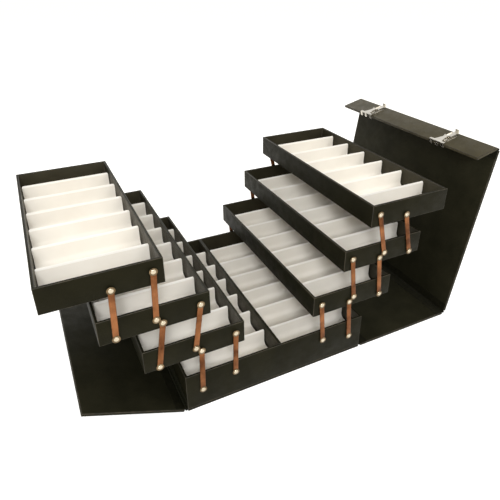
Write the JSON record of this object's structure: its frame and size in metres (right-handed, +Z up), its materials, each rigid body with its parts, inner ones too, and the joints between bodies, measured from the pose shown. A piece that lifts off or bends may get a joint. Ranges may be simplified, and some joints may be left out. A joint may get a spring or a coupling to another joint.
{
  "type": "cantilever tray case",
  "caption": "Wrap-round sample case standing open, with tiers of fin-divided trays that swing out on both sides on parallel riveted bars, and a hinged lid with draw latches.",
  "frame": {"origin": "centre of the base's underside, on the floor", "axes": "+X toward the side wall that carries the lid, +Y toward the back, +Z up; the trays swing out along X"},
  "size_m": [0.7683, 0.396, 0.3554],
  "materials": {
    "leatherette": "satin grained covering over board",
    "lining": "matt",
    "white_insert": "satin",
    "copper_link": "brushed",
    "nickel": "polished",
    "dark_hinge": "satin black",
    "grip": "satin"
  },
  "bodies": {
    "base": {"base_bottom_board": "leatherette", "base_walls": "leatherette", "base_divider": "leatherette", "base_floor_panels": "lining", "base_floor_battens": "lining", "base_right_insert": "white_insert", "base_left_insert": "white_insert", "base_rivets": "nickel", "base_hinge_leaves": "dark_hinge", "base_hinge_pins": "dark_hinge"},
    "right_wall": {"right_board": "leatherette", "right_board_leaf": "dark_hinge", "lid_hinge_leaf": "dark_hinge", "lid_hinge_pin": "dark_hinge"},
    "left_wall": {"left_board": "leatherette", "left_board_leaf": "dark_hinge", "latch_keepers": "nickel"},
    "lid": {"lid_board": "leatherette", "lid_leaf": "dark_hinge", "flap_hinge_leaf": "dark_hinge", "flap_hinge_pin": "dark_hinge", "handle_brackets": "nickel"},
    "flap": {"lid_flap": "leatherette", "flap_leaf": "dark_hinge", "latch_plates": "nickel"},
    "handle": {"carry_handle": "grip"},
    "front_lever": {"front_latch_lever": "nickel"},
    "front_claw": {"front_latch_claw": "nickel"},
    "back_lever": {"back_latch_lever": "nickel"},
    "back_claw": {"back_latch_claw": "nickel"},
    "right_tray_1": {"right_tray_1": "leatherette", "right_tray_1_insert": "white_insert", "right_tray_1_rivets": "nickel"},
    "right_tray_1_inner_arms": {"right_tray_1_inner_arms": "copper_link"},
    "right_tray_1_outer_arms": {"right_tray_1_outer_arms": "copper_link"},
    "right_tray_2": {"right_tray_2": "leatherette", "right_tray_2_insert": "white_insert", "right_tray_2_rivets": "nickel"},
    "right_tray_2_inner_arms": {"right_tray_2_inner_arms": "copper_link"},
    "right_tray_2_outer_arms": {"right_tray_2_outer_arms": "copper_link"},
    "right_tray_3": {"right_tray_3": "leatherette", "right_tray_3_insert": "white_insert", "right_tray_3_rivets": "nickel"},
    "right_tray_3_inner_arms": {"right_tray_3_inner_arms": "copper_link"},
    "right_tray_3_outer_arms": {"right_tray_3_outer_arms": "copper_link"},
    "left_tray_1": {"left_tray_1": "leatherette", "left_tray_1_insert": "white_insert", "left_tray_1_rivets": "nickel"},
    "left_tray_1_inner_arms": {"left_tray_1_inner_arms": "copper_link"},
    "left_tray_1_outer_arms": {"left_tray_1_outer_arms": "copper_link"},
    "left_tray_2": {"left_tray_2": "leatherette", "left_tray_2_insert": "white_insert", "left_tray_2_rivets": "nickel"},
    "left_tray_2_inner_arms": {"left_tray_2_inner_arms": "copper_link"},
    "left_tray_2_outer_arms": {"left_tray_2_outer_arms": "copper_link"},
    "left_tray_3": {"left_tray_3": "leatherette", "left_tray_3_insert": "white_insert", "left_tray_3_rivets": "nickel"},
    "left_tray_3_inner_arms": {"left_tray_3_inner_arms": "copper_link"},
    "left_tray_3_outer_arms": {"left_tray_3_outer_arms": "copper_link"}
  },
  "joints": [
    {"name": "right_wall_hinge", "type": "hinge", "parent": "base", "child": "right_wall", "pos_m": [0.1675, 0, 0.005], "axis": [0, -1, 0], "range_deg": [0, 90]},
    {"name": "left_wall_hinge", "type": "hinge", "parent": "base", "child": "left_wall", "pos_m": [-0.1675, 0, 0.005], "axis": [0, 1, 0], "range_deg": [0, 65.5]},
    {"name": "lid_hinge", "type": "hinge", "parent": "right_wall", "child": "lid", "pos_m": [0.376, 0, 0.005], "axis": [0, -1, 0], "range_deg": [-70, 8.5]},
    {"name": "flap_hinge", "type": "hinge", "parent": "lid", "child": "flap", "pos_m": [0.42648, 0, 0.34275], "axis": [0, 1, 0], "range_deg": [0, 22.5]},
    {"name": "front_latch_lever", "type": "hinge", "parent": "flap", "child": "front_lever", "pos_m": [0.38471, -0.105, 0.34079], "axis": [0, -1, 0], "range_deg": [0, 100]},
    {"name": "front_latch_claw", "type": "hinge", "parent": "front_lever", "child": "front_claw", "pos_m": [0.39476, -0.105, 0.34597], "axis": [0, 1, 0], "range_deg": [0, 100]},
    {"name": "back_latch_lever", "type": "hinge", "parent": "flap", "child": "back_lever", "pos_m": [0.38471, 0.105, 0.34079], "axis": [0, -1, 0], "range_deg": [0, 100]},
    {"name": "back_latch_claw", "type": "hinge", "parent": "back_lever", "child": "back_claw", "pos_m": [0.39476, 0.105, 0.34597], "axis": [0, 1, 0], "range_deg": [0, 100]},
    {"name": "carry_handle", "type": "hinge", "parent": "lid", "child": "handle", "pos_m": [0.41261, 0, 0.17217], "axis": [0, -1, 0], "range_deg": [-8.5, 171.5]},
    {"name": "right_tray_1_inner_arms", "type": "hinge", "parent": "base", "child": "right_tray_1_inner_arms", "pos_m": [0.08241, 0, 0.05], "axis": [0, -1, 0], "range_deg": [0, 50.66]},
    {"name": "right_tray_1_outer_arms", "type": "hinge", "parent": "base", "child": "right_tray_1_outer_arms", "pos_m": [0.13841, 0, 0.038], "axis": [0, -1, 0], "range_deg": [0, 50.66]},
    {"name": "right_tray_1_swing", "type": "hinge", "parent": "right_tray_1_inner_arms", "child": "right_tray_1", "pos_m": [0.07561, 0, 0.1277], "axis": [0, 1, 0], "range_deg": [0, 50.66]},
    {"name": "right_tray_2_inner_arms", "type": "hinge", "parent": "right_tray_1", "child": "right_tray_2_inner_arms", "pos_m": [0.14001, 0, 0.1237], "axis": [0, -1, 0], "range_deg": [0, 48.66]},
    {"name": "right_tray_2_outer_arms", "type": "hinge", "parent": "right_tray_1", "child": "right_tray_2_outer_arms", "pos_m": [0.19601, 0, 0.1117], "axis": [0, -1, 0], "range_deg": [0, 48.66]},
    {"name": "right_tray_2_swing", "type": "hinge", "parent": "right_tray_2_inner_arms", "child": "right_tray_2", "pos_m": [0.13051, 0, 0.20112], "axis": [0, 1, 0], "range_deg": [0, 48.66]},
    {"name": "right_tray_3_inner_arms", "type": "hinge", "parent": "right_tray_2", "child": "right_tray_3_inner_arms", "pos_m": [0.19491, 0, 0.19712], "axis": [0, -1, 0], "range_deg": [0, 42.16]},
    {"name": "right_tray_3_outer_arms", "type": "hinge", "parent": "right_tray_2", "child": "right_tray_3_outer_arms", "pos_m": [0.25091, 0, 0.18512], "axis": [0, -1, 0], "range_deg": [0, 42.16]},
    {"name": "right_tray_3_swing", "type": "hinge", "parent": "right_tray_3_inner_arms", "child": "right_tray_3", "pos_m": [0.1767, 0, 0.27297], "axis": [0, 1, 0], "range_deg": [0, 42.16]},
    {"name": "left_tray_1_inner_arms", "type": "hinge", "parent": "base", "child": "left_tray_1_inner_arms", "pos_m": [-0.08241, 0, 0.05], "axis": [0, 1, 0], "range_deg": [0, 54.16]},
    {"name": "left_tray_1_outer_arms", "type": "hinge", "parent": "base", "child": "left_tray_1_outer_arms", "pos_m": [-0.13841, 0, 0.038], "axis": [0, 1, 0], "range_deg": [0, 54.16]},
    {"name": "left_tray_1_swing", "type": "hinge", "parent": "left_tray_1_inner_arms", "child": "left_tray_1", "pos_m": [-0.08036, 0, 0.12797], "axis": [0, -1, 0], "range_deg": [0, 54.16]},
    {"name": "left_tray_2_inner_arms", "type": "hinge", "parent": "left_tray_1", "child": "left_tray_2_inner_arms", "pos_m": [-0.14477, 0, 0.12397], "axis": [0, 1, 0], "range_deg": [0, 47.16]},
    {"name": "left_tray_2_outer_arms", "type": "hinge", "parent": "left_tray_1", "child": "left_tray_2_outer_arms", "pos_m": [-0.20077, 0, 0.11197], "axis": [0, 1, 0], "range_deg": [0, 47.16]},
    {"name": "left_tray_2_swing", "type": "hinge", "parent": "left_tray_2_inner_arms", "child": "left_tray_2", "pos_m": [-0.13324, 0, 0.20112], "axis": [0, -1, 0], "range_deg": [0, 47.16]},
    {"name": "left_tray_3_inner_arms", "type": "hinge", "parent": "left_tray_2", "child": "left_tray_3_inner_arms", "pos_m": [-0.19764, 0, 0.19712], "axis": [0, 1, 0], "range_deg": [0, 53.16]},
    {"name": "left_tray_3_outer_arms", "type": "hinge", "parent": "left_tray_2", "child": "left_tray_3_outer_arms", "pos_m": [-0.25364, 0, 0.18512], "axis": [0, 1, 0], "range_deg": [0, 53.16]},
    {"name": "left_tray_3_swing", "type": "hinge", "parent": "left_tray_3_inner_arms", "child": "left_tray_3", "pos_m": [-0.19424, 0, 0.27504], "axis": [0, -1, 0], "range_deg": [0, 53.16]}
  ],
  "couplings": [
    {"joint": "left_wall_hinge", "follows": "right_wall_hinge", "ratio": 0.72778},
    {"joint": "flap_hinge", "follows": "right_wall_hinge", "ratio": 0.25},
    {"joint": "front_latch_claw", "follows": "front_latch_lever", "ratio": 1},
    {"joint": "back_latch_claw", "follows": "back_latch_lever", "ratio": 1},
    {"joint": "right_tray_1_inner_arms", "follows": "right_wall_hinge", "ratio": 0.56289},
    {"joint": "right_tray_1_outer_arms", "follows": "right_wall_hinge", "ratio": 0.56289},
    {"joint": "right_tray_1_swing", "follows": "right_wall_hinge", "ratio": 0.56289},
    {"joint": "right_tray_2_inner_arms", "follows": "right_wall_hinge", "ratio": 0.54067},
    {"joint": "right_tray_2_outer_arms", "follows": "right_wall_hinge", "ratio": 0.54067},
    {"joint": "right_tray_2_swing", "follows": "right_wall_hinge", "ratio": 0.54067},
    {"joint": "right_tray_3_inner_arms", "follows": "right_wall_hinge", "ratio": 0.46844},
    {"joint": "right_tray_3_outer_arms", "follows": "right_wall_hinge", "ratio": 0.46844},
    {"joint": "right_tray_3_swing", "follows": "right_wall_hinge", "ratio": 0.46844},
    {"joint": "left_tray_1_inner_arms", "follows": "right_wall_hinge", "ratio": 0.60178},
    {"joint": "left_tray_1_outer_arms", "follows": "right_wall_hinge", "ratio": 0.60178},
    {"joint": "left_tray_1_swing", "follows": "right_wall_hinge", "ratio": 0.60178},
    {"joint": "left_tray_2_inner_arms", "follows": "right_wall_hinge", "ratio": 0.524},
    {"joint": "left_tray_2_outer_arms", "follows": "right_wall_hinge", "ratio": 0.524},
    {"joint": "left_tray_2_swing", "follows": "right_wall_hinge", "ratio": 0.524},
    {"joint": "left_tray_3_inner_arms", "follows": "right_wall_hinge", "ratio": 0.59067},
    {"joint": "left_tray_3_outer_arms", "follows": "right_wall_hinge", "ratio": 0.59067},
    {"joint": "left_tray_3_swing", "follows": "right_wall_hinge", "ratio": 0.59067}
  ]
}
